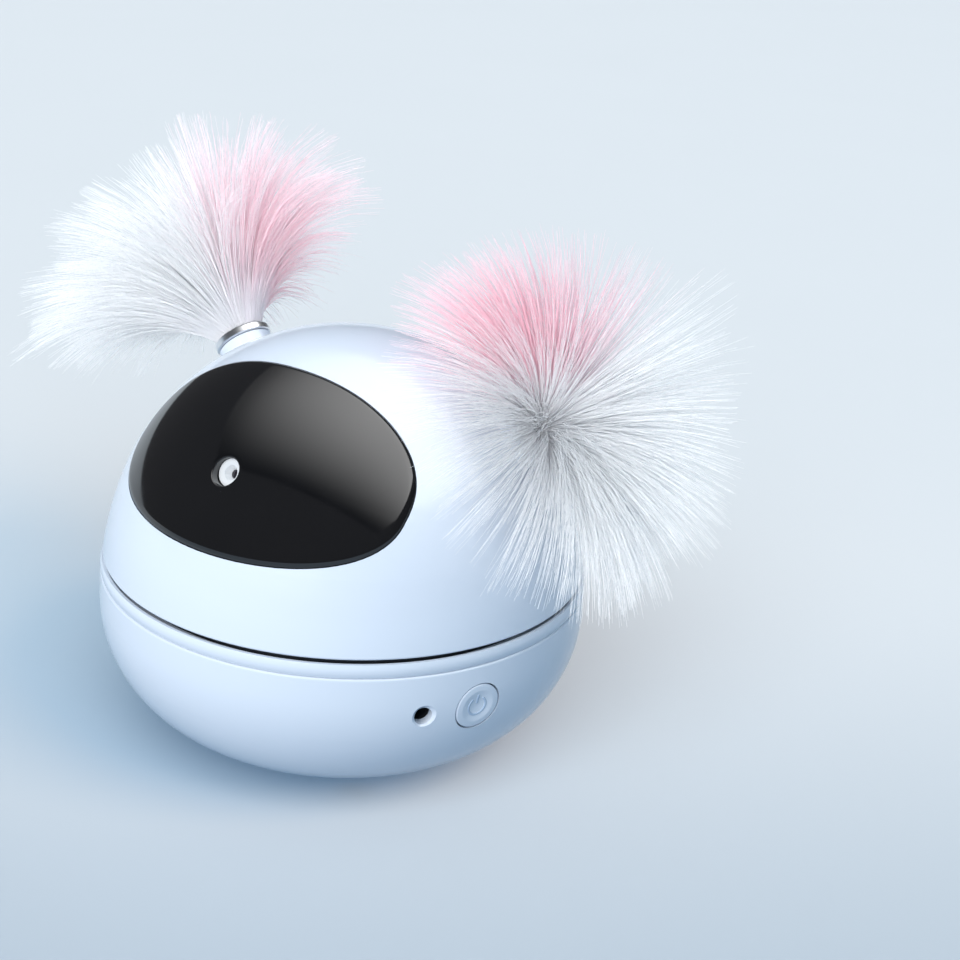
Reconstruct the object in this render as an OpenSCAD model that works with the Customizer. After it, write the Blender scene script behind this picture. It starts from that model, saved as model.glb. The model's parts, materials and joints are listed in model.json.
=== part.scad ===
// Automatic feather toy for cats: a round base that holds a motor and a battery, a head that
// turns on it, with a black visor and a small light behind it, and two fibre tufts that plug
// into the head. Millimetres, +Z up. The origin is on the floor, under the middle of the foot
// pad, and the visor looks along -Y.

/* [Body] */
// Widest diameter of the body
body_d = 104; // [100:1:112]
// Height of the widest line above the floor
equator_z = 32; // [31:0.5:34]
// Height of the dome's top above the widest line
dome_rise = 58; // [56:0.5:62]
// Radius of the dome's lower flank
dome_side_r = 72; // [68:1:78]
// Depth of the bowl's unbroken curve below the widest line
bowl_drop = 35.4; // [34.6:0.2:37]
// Radius of the bowl's flank
bowl_side_r = 28.5; // [27:0.5:30]
// Wall of the bowl and of the dome
wall = 2.4; // [2:0.1:3]
// Height of the collar ring's top above the widest line
collar_rise = 8.7; // [8:0.1:10]
// Height of the collar ring
collar_h = 2.9; // [2.4:0.1:3.6]
// Groove between the bowl and the collar ring
collar_groove = 0.15; // [0.1:0.05:0.4]
// Open seam between the collar ring and the turning head
seam_gap = 0.8; // [0.5:0.1:1.2]

/* [Foot] */
// Radius of the foot pad
foot_r = 23; // [18:0.5:24]
// How far the foot pad lifts the bowl off the floor
foot_proud = 1.2; // [0.8:0.1:1.6]
// Depth of the recess that holds the foot pad
foot_recess = 0.8; // [0.5:0.1:1]

/* [Face] */
// Half of the visor's width
visor_half_w = 33.7; // [30:0.1:36]
// Half of the visor's height
visor_half_h = 20.9; // [18:0.1:22]
// Angle of the visor's axis above the horizon
visor_elev = 47; // [45:0.5:50]
// Rise of the visor's middle along its own height
visor_shift = 3.5; // [2.5:0.1:4.5]
// Fullness of the visor's upper half, where 2 is an ellipse
visor_full = 2.45; // [2:0.05:3]
// Depth of the visor's seat in the dome
visor_seat = 1.4; // [1:0.1:1.6]
// How far the visor stands proud of the dome
visor_proud = 0.4; // [0.2:0.1:0.8]
// Gap round the visor
visor_gap = 0.2; // [0.1:0.05:0.4]
// Width of the ledge that the visor rests on
visor_ledge = 2; // [1.5:0.1:3]
// Diameter of the eye's hole in the visor
eye_hole_d = 5.9; // [5.6:0.1:6.6]
// Angle of the eye's hole above the horizon
eye_elev = 39; // [36:0.5:43]
// Angle of the eye's own axis above the horizon
beam_elev = 27; // [22:1:35]
// Depth of the eye's ring below the visor's surface
eye_recess = 2; // [1.6:0.1:2.4]
// Diameter of the eye's barrel
barrel_d = 6; // [5:0.1:6.2]
// Length of the eye's barrel
barrel_l = 13; // [11:0.5:16]

/* [Tufts] */
// Angle of each tuft round the head, from the face
tuft_az = 105.5; // [98:0.5:112]
// Angle of each tuft above the horizon
tuft_elev = 42.5; // [40:0.5:50]
// Diameter of the socket's neck
neck_d = 12.2; // [11:0.1:13]
// Height of the neck above the dome
neck_rise = 3.75; // [2.5:0.05:5]
// Diameter of the ferrule
ferrule_d = 12.8; // [11.5:0.1:14]
// Height of the ferrule's band
ferrule_h = 1.7; // [1.5:0.1:3]
// Diameter of the ferrule's stem
stem_d = 6; // [4:0.1:6.4]
// Length of the ferrule's stem
stem_l = 10.5; // [8:0.5:11]
// Number of strands in each tuft
strand_count = 190; // [150:1:220]
// Length of the longest strands
strand_l = 47; // [40:1:50]
// Share of its length that a short strand lacks
strand_ragged = 0.16; // [0:0.01:0.3]
// Angle at which the outermost strands leave the ferrule
strand_lean = 60; // [40:1:64]
// Angle at which the outermost strands end
strand_spread = 112; // [80:1:114]
// Radius of a strand at its root
strand_root_r = 0.22; // [0.15:0.01:0.25]
// Radius of a strand at its tip
strand_tip_r = 0.11; // [0.08:0.01:0.15]

/* [Controls] */
// Angle of the power button round the base, from the face
button_az = 69.4; // [66:0.1:80]
// Angle of the charging socket round the base, from the face
jack_az = 56.1; // [50:0.1:58]
// Drop of the controls below the widest line
control_drop = 3.5; // [3.2:0.1:4.5]
// Diameter of the power button
button_d = 10; // [8:0.1:10.4]
// Gap round the power button
button_gap = 0.3; // [0.2:0.05:0.4]
// Inward travel of the power button
button_travel = 0.6; // [0.4:0.1:0.7]
// Diameter of the charging socket's hole
jack_d = 3.7; // [3.6:0.1:4.2]

/* [Drive] */
// Module of the drive gears
gear_m = 1; // [0.8:0.1:1]
// Share of the body's width that lies between the gears' axes
gear_reach = 0.25; // [0.24:0.005:0.26]
// Teeth on the motor's pinion
pinion_teeth = 14; // [13:1:16]
// Width of the drive gears
gear_w = 4; // [3:0.2:5]
// Diameter of the post that the head turns on
post_d = 14; // [12:0.5:15]
// Diameter of the motor's shaft
shaft_d = 3; // [2:0.1:4]
// Width of the motor
motor_w = 12; // [10:0.5:14]
// Depth of the motor between its flats
motor_t = 10; // [8:0.5:11]
// Length of the motor's can
motor_can_l = 15; // [12:0.5:16]
// Length of the motor's gearbox
gearbox_l = 9; // [7:0.5:10]
// Diameter of the battery cell
cell_d = 14.2; // [12:0.1:14.6]
// Length of the battery cell
cell_l = 49; // [40:1:50]

/* [Hidden] */
$fn = 96;

shell_colour = "aliceblue";
inner_colour = "dimgrey";
steel_colour = "silver";

// Clearance between fitted pieces of one body
fit = 0.05;
// Radial clearance of a turning or sliding fit
running = 0.08;
// Clearance between pieces that pass each other
pass = 0.3;
// Overlap that a cutting tool needs beyond the face it cuts
over = 1;

body_r = body_d / 2;
// The dome is an arc round a centre at the widest line's height, and a true sphere tangent to it
dome_side_x = body_r - dome_side_r;
top_r = (pow(dome_rise, 2) + pow(dome_side_x, 2) - pow(dome_side_r, 2)) / (2 * (dome_rise - dome_side_r));
top_z = equator_z + dome_rise - top_r;
dome_turn = atan2(top_z - equator_z, -dome_side_x);
// The bowl is an arc round a centre at the widest line's height, and a wider arc tangent to it
bowl_side_x = body_r - bowl_side_r;
bottom_r = (pow(bowl_side_x, 2) + pow(bowl_drop, 2) - pow(bowl_side_r, 2)) / (2 * (bowl_drop - bowl_side_r));
bottom_z = equator_z - bowl_drop + bottom_r;
bowl_turn = atan2(bottom_z - equator_z, bowl_side_x);

// Heights where the arcs meet, for a section taken in by inset
function dome_joint(inset) = top_z + (top_r - inset) * sin(dome_turn);
function bowl_joint(inset) = bottom_z - (bottom_r - inset) * sin(bowl_turn);
// Radius of the body at a height, taken in by inset
function body_x(z, inset = 0) =
    z > dome_joint(inset) ? sqrt(pow(top_r - inset, 2) - pow(z - top_z, 2))
    : z > equator_z ? dome_side_x + sqrt(pow(dome_side_r - inset, 2) - pow(z - equator_z, 2))
    : z > bowl_joint(inset) ? bowl_side_x + sqrt(pow(bowl_side_r - inset, 2) - pow(z - equator_z, 2))
    : sqrt(pow(bottom_r - inset, 2) - pow(bottom_z - z, 2));
// Height of the bowl's underside at a radius, taken in by inset
function bottom_at(r, inset = 0) = bottom_z - sqrt(pow(bottom_r - inset, 2) - r * r);

// Right half of the body's section, taken in by inset
module body_half(inset) {
    between(equator_z - bowl_drop, bowl_joint(inset)) translate([0, bottom_z]) circle(bottom_r - inset);
    between(bowl_joint(inset) - over, equator_z) {
        translate([bowl_side_x, equator_z]) circle(bowl_side_r - inset);
        square([bowl_side_x, body_d]);
    }
    between(equator_z, dome_joint(inset)) translate([dome_side_x, equator_z]) circle(dome_side_r - inset);
    between(dome_joint(inset), equator_z + dome_rise) translate([0, top_z]) circle(top_r - inset);
}
// The right half of a section between two heights
module between(low, high) {
    intersection() {
        children();
        translate([0, low]) square([body_d, high - low]);
    }
}
// Turns +Z to an azimuth from the face, counted towards +X, and an angle above the horizon
module aim(az, elev) { rotate([0, 0, az]) rotate([90 - elev, 0, 0]) children(); }
// Out of the dome's sphere, whose surface is at z = top_r
module on_dome(az, elev) { translate([0, 0, top_z]) aim(az, elev) children(); }
// Level out of the bowl's wall at the height of the controls, with +Y up
module on_wall(az) { translate([0, 0, control_z]) aim(az, 0) children(); }
// Cuts an outer corner of a half section to a quarter round, at its top or, with up = -1, its foot
module edge_round(x, z, r, up = 1) {
    translate([x - r, z - up * r]) difference() {
        translate([0, up > 0 ? 0 : -r - over]) square(r + over);
        circle(r);
    }
}
module ring(r_out, r_in, h) {
    difference() {
        cylinder(r = r_out, h = h);
        translate([0, 0, -over]) cylinder(r = r_in, h = h + 2 * over);
    }
}
// A cylinder with its top edge cut at 45 degrees, and its foot too where low is given
module capped(r, h, cut, low = 0) {
    foot = low > 0 ? [[r - low, 0], [r, low]] : [[r, 0]];
    rotate_extrude() polygon([[0, 0], each foot, [r, h - cut], [r - cut, h], [0, h]]);
}
// A screw that points along +Z, with its head's underside at z = 0
module screw(d, l, head_d, head_h) {
    cylinder(d = d, h = l);
    translate([0, 0, -head_h]) difference() {
        cylinder(d = head_d, h = head_h);
        for (a = [0, 90]) rotate([0, 0, a]) translate([-head_d / 3, -d / 8, -over])
            cube([head_d * 2 / 3, d / 4, over + head_h / 2]);
    }
}

// Levels of the base and the head, from the collar ring's top
collar_top = equator_z + collar_rise;
collar_bottom = collar_top - collar_h;
rim_top = collar_bottom - collar_groove;
head_z = collar_top + seam_gap;
floor_z = foot_proud + wall;
rim_lap = 1.4;
rim_round = 0.5;
deck_t = 1.8;
deck_top = rim_top - rim_lap;
deck_bottom = deck_top - deck_t;
washer_t = 0.5;
hub_z = deck_top + washer_t + running;
gear_z = hub_z;
table_t = 2.2;
gear_space = 0.8;
table_z = gear_z + gear_w + gear_space;
table_top = table_z + table_t;
hub_d = 20;
hub_rise = 2;
bush_wall = 1.5;
bush_flange_t = 0.8;
bush_d = post_d + 2 * running + 2 * bush_wall;

// Base shells

controls_h = 3.5;
board_t = 1.6;
control_z = equator_z - control_drop;
board_top = control_z - controls_h;
board_bottom = board_top - board_t;
base_screw_d = 2.6;
base_screw_l = 18;
base_screw_head_d = 4.8;
base_screw_head_h = 1.8;
column_az = [45, 135, 225, 315];
column_r = 31;
boss_d = 10;
column_d = 9;
spigot_d = 6.6;
spigot_l = 6;
spigot_z = board_bottom - spigot_l;
head_sink = 2.4;
base_screw_z = bottom_at(column_r) + head_sink + base_screw_head_h;
module at_columns() {
    for (a = column_az) rotate([0, 0, a]) translate([0, -column_r, 0]) children();
}

cell_y = -6;
cell_lift = 0.9;
cell_z = bottom_at(norm([cell_l / 2, cell_y]), wall) + cell_lift + cell_d / 2;
saddle_x = 15;
saddle_t = 3;
saddle_wall = 1.8;

jack_bevel_h = 0.7;
jack_bevel_d = jack_d + 2 * jack_bevel_h;
button_flange_w = 0.7;
button_flange_r = button_d / 2 + button_flange_w;

module base_bowl() {
    color(shell_colour) difference() {
        union() {
            rotate_extrude() difference() {
                between(foot_proud, rim_top) body_half(0);
                between(floor_z, collar_top) body_half(wall);
                edge_round(body_x(rim_top - rim_round), rim_top, rim_round);
            }
            intersection() {
                rotate_extrude() between(floor_z - wall / 2, board_bottom) body_half(wall / 2);
                union() {
                    at_columns() cylinder(d = boss_d, h = board_bottom);
                    for (s = [-1, 1]) translate([s * saddle_x - saddle_t / 2, cell_y, 0])
                        translate([0, -cell_d / 2 - saddle_wall, 0])
                            cube([saddle_t, cell_d + 2 * saddle_wall, cell_z]);
                }
            }
        }
        at_columns() {
            cylinder(d = base_screw_head_d + 2 * pass, h = base_screw_z);
            cylinder(d = base_screw_d + 2 * pass, h = board_top);
            translate([0, 0, spigot_z - pass]) cylinder(d = spigot_d + 2 * fit, h = board_top);
        }
        translate([-saddle_x - saddle_t, cell_y, cell_z]) rotate([0, 90, 0])
            cylinder(d = cell_d + 2 * fit, h = 2 * (saddle_x + saddle_t));
        cylinder(r = foot_r + fit, h = foot_proud + foot_recess);
        on_wall(button_az) translate([0, 0, body_r / 2]) cylinder(r = button_d / 2 + button_gap, h = body_r);
        on_wall(jack_az) {
            translate([0, 0, body_r / 2]) cylinder(d = jack_d, h = body_r);
            translate([0, 0, body_x(control_z) - jack_bevel_h])
                cylinder(d1 = jack_d, d2 = jack_bevel_d + 2 * jack_bevel_h, h = 2 * jack_bevel_h);
        }
    }
}

// The collar ring's outside is a low bead with a thin lip under the open seam, and its skirt drops
// inside the bowl's rim onto the deck
bead_r = 3.2;
collar_lip = 1;
collar_step = 1.2;
bead_proud = 0.25;
collar_skirt_r = body_x(rim_top, wall) - fit;
collar_skirt_t = 1.4;
collar_wall = 2.6;
skirt_r = collar_skirt_r - collar_skirt_t - 2 * pass;
skirt_t = 1.2;
skirt_lift = 1;
skirt_z = deck_top + skirt_lift;
module collar_ring() {
    bead_z = (collar_top + collar_bottom) / 2;
    bead_x = body_x(bead_z) + bead_proud;
    color(shell_colour) rotate_extrude() difference() {
        union() {
            between(collar_bottom, collar_top) difference() {
                union() {
                    translate([bead_x - bead_r, bead_z]) circle(bead_r);
                    square([bead_x - bead_r, body_d]);
                }
                square([bead_x - collar_wall, body_d]);
            }
            translate([collar_skirt_r - collar_skirt_t, deck_top + fit])
                square([collar_skirt_t, collar_top - deck_top]);
        }
        translate([0, collar_bottom + collar_step]) square([bead_x - collar_lip, body_d]);
    }
}

foot_chamfer = 0.4;
module foot_pad() {
    color("lightgrey") mirror([0, 0, 1]) translate([0, 0, fit - foot_proud - foot_recess])
        capped(foot_r, foot_proud + foot_recess - fit, foot_chamfer);
}

module base_screws() {
    color(steel_colour) at_columns() translate([0, 0, base_screw_z])
        screw(base_screw_d, base_screw_l, base_screw_head_d, base_screw_head_h);
}

// Deck, motor and drive

gear_clear = 0.06;
addendum = 0.9;
head_teeth = round(2 * gear_reach * body_d / gear_m) - pinion_teeth;
motor_y = (head_teeth + pinion_teeth) * gear_m / 2 + gear_clear;
motor_top = deck_bottom;
pocket_wall = 1.6;
pocket_h = 6;
motor_screw_d = 1.6;
motor_screw_head_d = 3;
motor_screw_head_h = 0.9;
motor_screw_l = 4;
motor_screw_x = 4.5;
shaft_in = 5;
post_top = table_top + hub_rise + bush_flange_t + 2 * running;
retainer_d = 3;
retainer_l = 10;

module deck_plate() {
    color(inner_colour) difference() {
        union() {
            translate([0, 0, deck_bottom]) cylinder(r = body_x(rim_top, wall) - 2 * fit, h = deck_t);
            translate([0, 0, deck_bottom]) cylinder(d = post_d, h = post_top - deck_bottom);
            at_columns() {
                translate([0, 0, board_top]) cylinder(d = column_d, h = deck_top - board_top);
                translate([0, 0, spigot_z]) cylinder(d = spigot_d, h = deck_top - spigot_z);
            }
            translate([0, motor_y, deck_bottom - pocket_h / 2])
                cube([motor_w + 2 * pocket_wall, motor_t + 2 * pocket_wall, pocket_h + fit], center = true);
        }
        translate([0, motor_y, motor_top - pocket_h / 2])
            cube([motor_w + 4 * fit, motor_t + 4 * fit, pocket_h + fit], center = true);
        translate([0, motor_y, 0]) {
            cylinder(d = shaft_d + 2 * pass, h = deck_top + over);
            for (s = [-1, 1]) translate([s * motor_screw_x, 0, 0]) {
                cylinder(d = motor_screw_d + 2 * fit, h = deck_top + over);
                translate([0, 0, deck_top - motor_screw_head_h - fit])
                    cylinder(d = motor_screw_head_d + 2 * fit, h = deck_t);
            }
        }
        at_columns() translate([0, 0, spigot_z - over])
            cylinder(d = base_screw_d + 2 * fit, h = base_screw_z + base_screw_l - spigot_z + 2 * over);
        translate([0, 0, post_top - retainer_l - over])
            cylinder(d = retainer_d + 2 * fit, h = retainer_l + 2 * over);
    }
}

// The ring's two raised tracks carry current to the brushes under the head
contact_space = 2.1;
contact_in = motor_y + (pinion_teeth / 2 + addendum) * gear_m + contact_space;
contact_out = skirt_r - skirt_t - contact_space;
contact_t = 0.8;
track_w = (contact_out - contact_in) / 4;
track_t = 0.2;
function track_r(side) = (contact_out + contact_in) / 2 + side * track_w;
module contact_ring() {
    color("darkgoldenrod") translate([0, 0, deck_top]) {
        ring(contact_out, contact_in, contact_t);
        for (s = [-1, 1]) ring(track_r(s) + track_w / 2, track_r(s) - track_w / 2, contact_t + track_t);
    }
}

module thrust_washer() {
    color("white") translate([0, 0, deck_top]) ring(hub_d / 2, post_d / 2 + running, washer_t);
}

retainer_washer_t = 1;
module retaining_washer() {
    color(steel_colour) translate([0, 0, post_top])
        ring(hub_d / 2 - fit, retainer_d / 2 + fit, retainer_washer_t);
}

module retaining_screw() {
    color(steel_colour) translate([0, 0, post_top + retainer_washer_t]) mirror([0, 0, 1])
        screw(retainer_d, retainer_l, 2 * retainer_d, retainer_d / 2);
}

module motor_gearbox() {
    plate_t = 1;
    pillar_d = 1.6;
    pillar_in = 1.2;
    train_in = 1;
    color("goldenrod") difference() {
        translate([0, motor_y, motor_top - gearbox_l]) {
            for (z = [0, gearbox_l / 2 - plate_t / 2, gearbox_l - plate_t])
                translate([-motor_w / 2, -motor_t / 2, z]) cube([motor_w, motor_t, plate_t]);
            for (x = [-1, 1], y = [-1, 1])
                translate([x * (motor_w / 2 - pillar_in), y * (motor_t / 2 - pillar_in), 0])
                    cylinder(d = pillar_d, h = gearbox_l);
            cylinder(d = motor_t - 2 * train_in, h = gearbox_l);
        }
        translate([0, motor_y, motor_top - shaft_in]) cylinder(d = shaft_d + 2 * running, h = gearbox_l);
        for (s = [-1, 1]) translate([s * motor_screw_x, motor_y, motor_top - motor_screw_l])
            cylinder(d = motor_screw_d + 2 * fit, h = 2 * motor_screw_l);
    }
}

module motor_can() {
    tail_d = 5;
    tail_h = 1;
    color(steel_colour) translate([0, motor_y, motor_top - gearbox_l - motor_can_l]) {
        intersection() {
            cylinder(d = motor_w, h = motor_can_l);
            translate([-motor_w / 2, -motor_t / 2, 0]) cube([motor_w, motor_t, motor_can_l]);
        }
        translate([0, 0, -tail_h]) cylinder(d = tail_d, h = tail_h + over);
    }
}

module motor_screws() {
    color(steel_colour) for (s = [-1, 1])
        translate([s * motor_screw_x, motor_y, deck_top - motor_screw_head_h]) mirror([0, 0, 1])
            screw(motor_screw_d, motor_screw_l, motor_screw_head_d, motor_screw_head_h);
}

module motor_shaft() {
    color(steel_colour) translate([0, motor_y, motor_top - shaft_in + pass])
        cylinder(d = shaft_d, h = gear_z + gear_w - motor_top + shaft_in - pass);
}

// Involute gears: each flank is a few points of the curve, and each tooth is thinned for play
pressure = 20;
dedendum = 1.25;
tooth_play = 0.1;
flank_steps = 4;
function polar(r, a) = [r * cos(a), r * sin(a)];
function unwound(r, base_r) = r <= base_r ? 0 : tan(acos(base_r / r)) * 180 / PI - acos(base_r / r);
function gear_outline(teeth, m) =
    let (
        pitch_r = teeth * m / 2,
        base_r = pitch_r * cos(pressure),
        root_r = pitch_r - dedendum * m,
        tip_r = pitch_r + addendum * m,
        start_r = max(base_r, root_r),
        half = 90 / teeth - tooth_play / pitch_r * 90 / PI + unwound(pitch_r, base_r)
    )
    [for (i = [0 : teeth - 1]) each let (a = 360 * i / teeth) [
        polar(root_r, a - half + unwound(start_r, base_r)),
        for (k = [0 : flank_steps]) let (r = start_r + (tip_r - start_r) * k / flank_steps)
            polar(r, a - half + unwound(r, base_r)),
        for (k = [flank_steps : -1 : 0]) let (r = start_r + (tip_r - start_r) * k / flank_steps)
            polar(r, a + half - unwound(r, base_r)),
        polar(root_r, a + half - unwound(start_r, base_r))
    ]];

module drive_pinion() {
    color("white") translate([0, motor_y, gear_z]) difference() {
        rotate([0, 0, -90]) linear_extrude(gear_w) polygon(gear_outline(pinion_teeth, gear_m));
        translate([0, 0, -over]) cylinder(d = shaft_d + 2 * fit, h = gear_w + 2 * over);
    }
}

// Electrics

module main_board() {
    color("seagreen") difference() {
        translate([0, 0, board_bottom]) cylinder(r = body_x(board_bottom, wall) - 2 * pass, h = board_t);
        at_columns() cylinder(d = spigot_d + 2 * pass, h = board_top + over);
        translate([0, motor_y, board_top])
            cube([motor_w + 4 * pass, motor_t + 4 * pass, 4 * board_t], center = true);
        on_wall(button_az) translate([-button_flange_r - pass, -body_r / 2, switch_x])
            cube([2 * (button_flange_r + pass), body_r, body_r]);
    }
}

// A controller, a coil, a smoothing capacitor and the plug for the battery's leads
chip_at = [-6, -14, 0];
chip_size = [10, 6, 1.6];
coil_at = [-22, -6, 0];
coil_size = [7, 7, 3];
plug_at = [-16, 14, 0];
plug_size = [8, 5, 5];
capacitor_at = [20, 4, 0];
capacitor_d = 5;
capacitor_h = 6;
module board_parts() {
    color("dimgrey") translate([0, 0, board_top]) {
        translate(chip_at) cube(chip_size);
        translate(coil_at) cube(coil_size);
        translate(plug_at) cube(plug_size);
        translate(capacitor_at) cylinder(d = capacitor_d, h = capacitor_h);
    }
}

// The switch is pressed along the button's axis, and its plunger stands in a bore
switch_w = 6;
switch_t = 3.5;
plunger_d = 3.4;
plunger_l = 3;
plunger_out = button_travel + pass;
flange_t = 1;
flange_x = min(body_x(control_z - button_flange_r, wall), body_x(control_z + button_flange_r, wall),
    sqrt(pow(body_x(control_z, wall), 2) - pow(button_flange_r, 2))) - 2 * fit;
plunger_x = flange_x - flange_t;
switch_x = plunger_x - plunger_out;
module tact_switch() {
    color("dimgrey") on_wall(button_az) difference() {
        translate([-switch_w / 2, fit - controls_h, switch_x - switch_t])
            cube([switch_w, controls_h - fit + switch_w / 2, switch_t]);
        translate([0, 0, plunger_x - plunger_l - button_travel - fit])
            cylinder(d = plunger_d + 2 * running, h = 2 * plunger_l);
    }
}

module switch_plunger() {
    color("black") on_wall(button_az) translate([0, 0, plunger_x - plunger_l])
        cylinder(d = plunger_d, h = plunger_l - fit);
}

// The button's face follows the bowl, with a shallow dish in its middle
dish_d = 5.8;
dish_h = 0.7;
module power_button() {
    dish_r = (pow(dish_d / 2, 2) + pow(dish_h, 2)) / (2 * dish_h);
    color(shell_colour) difference() {
        intersection() {
            rotate_extrude() body_half(0);
            on_wall(button_az) {
                translate([0, 0, plunger_x]) cylinder(d = button_d, h = body_r);
                translate([0, 0, plunger_x]) cylinder(r = button_flange_r, h = flange_t);
            }
        }
        on_wall(button_az) translate([0, 0, body_x(control_z) - dish_h + dish_r]) sphere(dish_r);
    }
}

jack_w = 6.4;
jack_l = 9;
jack_x = sqrt(pow(body_x(control_z - controls_h, wall), 2) - pow(jack_w / 2, 2)) - fit;
jack_bore_l = 7;
jack_pin_d = 1.3;
jack_pin_l = 5.5;
module charge_jack() {
    color("black") on_wall(jack_az) difference() {
        translate([-jack_w / 2, fit - controls_h, jack_x - jack_l])
            cube([jack_w, controls_h - fit + jack_w / 2, jack_l]);
        translate([0, 0, jack_x - jack_bore_l]) cylinder(d = jack_d, h = jack_l);
        translate([0, 0, jack_x - jack_l - over]) cylinder(d = jack_pin_d + 2 * fit, h = jack_l);
    }
}

module jack_pin() {
    color(steel_colour) on_wall(jack_az) translate([0, 0, jack_x - jack_l])
        cylinder(d = jack_pin_d, h = jack_l - jack_bore_l + jack_pin_l);
}

module battery_cell() {
    cap_d = cell_d / 3;
    cap_h = 1;
    color("steelblue") translate([-cell_l / 2, cell_y, cell_z]) rotate([0, 90, 0]) {
        cylinder(d = cell_d, h = cell_l - cap_h);
        cylinder(d = cap_d, h = cell_l);
    }
}

// Head

peg_az = [60, 180, 300];
peg_d = 3;
peg_r = (hub_d / 2 + (head_teeth / 2 - dedendum) * gear_m) / 2;
peg_short = 0.5;
peg_l = gear_w - peg_short;
table_r = body_x(table_top, wall) - 2 * fit;
head_screw_az = [60, 120, 240, 300];
head_screw_edge = 6.5;
head_screw_r = table_r - head_screw_edge;
head_screw_d = 2;
head_screw_l = 7;
head_screw_head_d = 3.8;
head_screw_head_h = 1.4;
head_boss_d = 6;
web_t = 1.8;
web_h = 14;
web_top = table_top + web_h;
module at_head_screws() {
    for (a = head_screw_az) rotate([0, 0, a]) translate([0, -head_screw_r, 0]) children();
}

// The visor's outline is an ellipse with a fuller upper half, grown by spread
visor_steps = 96;
visor_plain = 2;
function full(share, power) = sign(share) * pow(abs(share), 2 / power);
module visor_outline(spread) {
    half = [visor_half_w + spread, visor_half_h + spread];
    translate([0, visor_shift]) polygon([for (i = [0 : visor_steps - 1])
        let (a = 360 * i / visor_steps, power = a < 180 ? visor_full : visor_plain)
        [half[0] * full(cos(a), power), half[1] * full(sin(a), power)]]);
}
// The outline as a prism along the visor's axis, from inside the dome outwards
module visor_prism(spread) {
    translate([0, 0, equator_z]) aim(0, visor_elev) translate([0, 0, body_r / 3])
        linear_extrude(body_d) visor_outline(spread);
}
module dome_ball(inset) { translate([0, 0, top_z]) sphere(top_r - inset); }

// The eye's axis starts where the hole's middle meets the visor's surface
eye_at = [0, -(top_r + visor_proud) * cos(eye_elev), top_z + (top_r + visor_proud) * sin(eye_elev)];
module at_eye() { translate(eye_at) aim(0, beam_elev) children(); }

socket_shank_d = 9.8;
socket_l = 9.5;
socket_seat = 0.9;
module at_socket(side) { on_dome(side * tuft_az, tuft_elev) translate([0, 0, top_r]) children(); }

module head_shell() {
    color(shell_colour) difference() {
        union() {
            rotate_extrude() difference() {
                between(head_z, equator_z + dome_rise) body_half(0);
                between(equator_z, equator_z + dome_rise) body_half(wall);
                edge_round(body_x(head_z + rim_round), head_z, rim_round, -1);
            }
            intersection() {
                rotate_extrude() between(table_top, web_top) body_half(wall / 2);
                at_head_screws() {
                    cylinder(d = head_boss_d, h = web_top);
                    translate([-web_t / 2, -body_r, 0]) cube([web_t, body_r, web_top]);
                }
                difference() {
                    cylinder(r = body_r, h = web_top);
                    cylinder(r = head_screw_r - head_boss_d / 2, h = web_top);
                }
            }
        }
        difference() {
            visor_prism(visor_gap);
            dome_ball(visor_seat);
        }
        visor_prism(-visor_ledge);
        for (s = [-1, 1]) at_socket(s) {
            translate([0, 0, -2 * socket_l]) cylinder(d = socket_shank_d + 2 * fit, h = 4 * socket_l);
            translate([0, 0, -socket_seat]) cylinder(d = neck_d + 2 * fit, h = socket_l);
        }
        at_head_screws() cylinder(d = head_screw_d + 2 * fit, h = table_z + head_screw_l + over);
    }
}

module visor() {
    color("black") difference() {
        intersection() {
            visor_prism(0);
            dome_ball(-visor_proud);
        }
        dome_ball(visor_seat - fit);
        at_eye() translate([0, 0, -barrel_l]) cylinder(d = eye_hole_d, h = 2 * barrel_l);
    }
}

module turntable() {
    color(inner_colour) difference() {
        union() {
            translate([0, 0, table_z]) cylinder(r = table_r, h = table_t);
            translate([0, 0, hub_z]) cylinder(d = hub_d, h = table_top + hub_rise - hub_z);
            translate([0, 0, skirt_z]) ring(skirt_r, skirt_r - skirt_t, table_z - skirt_z + fit);
            for (a = peg_az) rotate([0, 0, a]) translate([0, peg_r, table_z - peg_l])
                cylinder(d = peg_d, h = peg_l + fit);
        }
        translate([0, 0, hub_z - over]) cylinder(d = bush_d + 2 * fit, h = table_top);
        at_head_screws() cylinder(d = head_screw_d + 2 * fit, h = table_top + over);
        at_bracket_screws() translate([0, 0, bracket_foot_t - bracket_screw_l - fit])
            cylinder(d = bracket_screw_d + 2 * fit, h = bracket_screw_l);
    }
}

module drive_gear() {
    color("white") translate([0, 0, gear_z]) difference() {
        rotate([0, 0, 90 + 180 / head_teeth]) linear_extrude(gear_w)
            polygon(gear_outline(head_teeth, gear_m));
        translate([0, 0, -over]) cylinder(d = hub_d + 2 * fit, h = gear_w + 2 * over);
        for (a = peg_az) rotate([0, 0, a]) translate([0, peg_r, -over])
            cylinder(d = peg_d + 2 * fit, h = gear_w + 2 * over);
    }
}

module head_screws() {
    color(steel_colour) at_head_screws() translate([0, 0, table_z])
        screw(head_screw_d, head_screw_l, head_screw_head_d, head_screw_head_h);
}

module hub_bush() {
    color("white") {
        translate([0, 0, hub_z]) ring(bush_d / 2, post_d / 2 + running, table_top + hub_rise - hub_z);
        translate([0, 0, table_top + hub_rise]) ring(hub_d / 2, post_d / 2 + running, bush_flange_t);
    }
}

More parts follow.
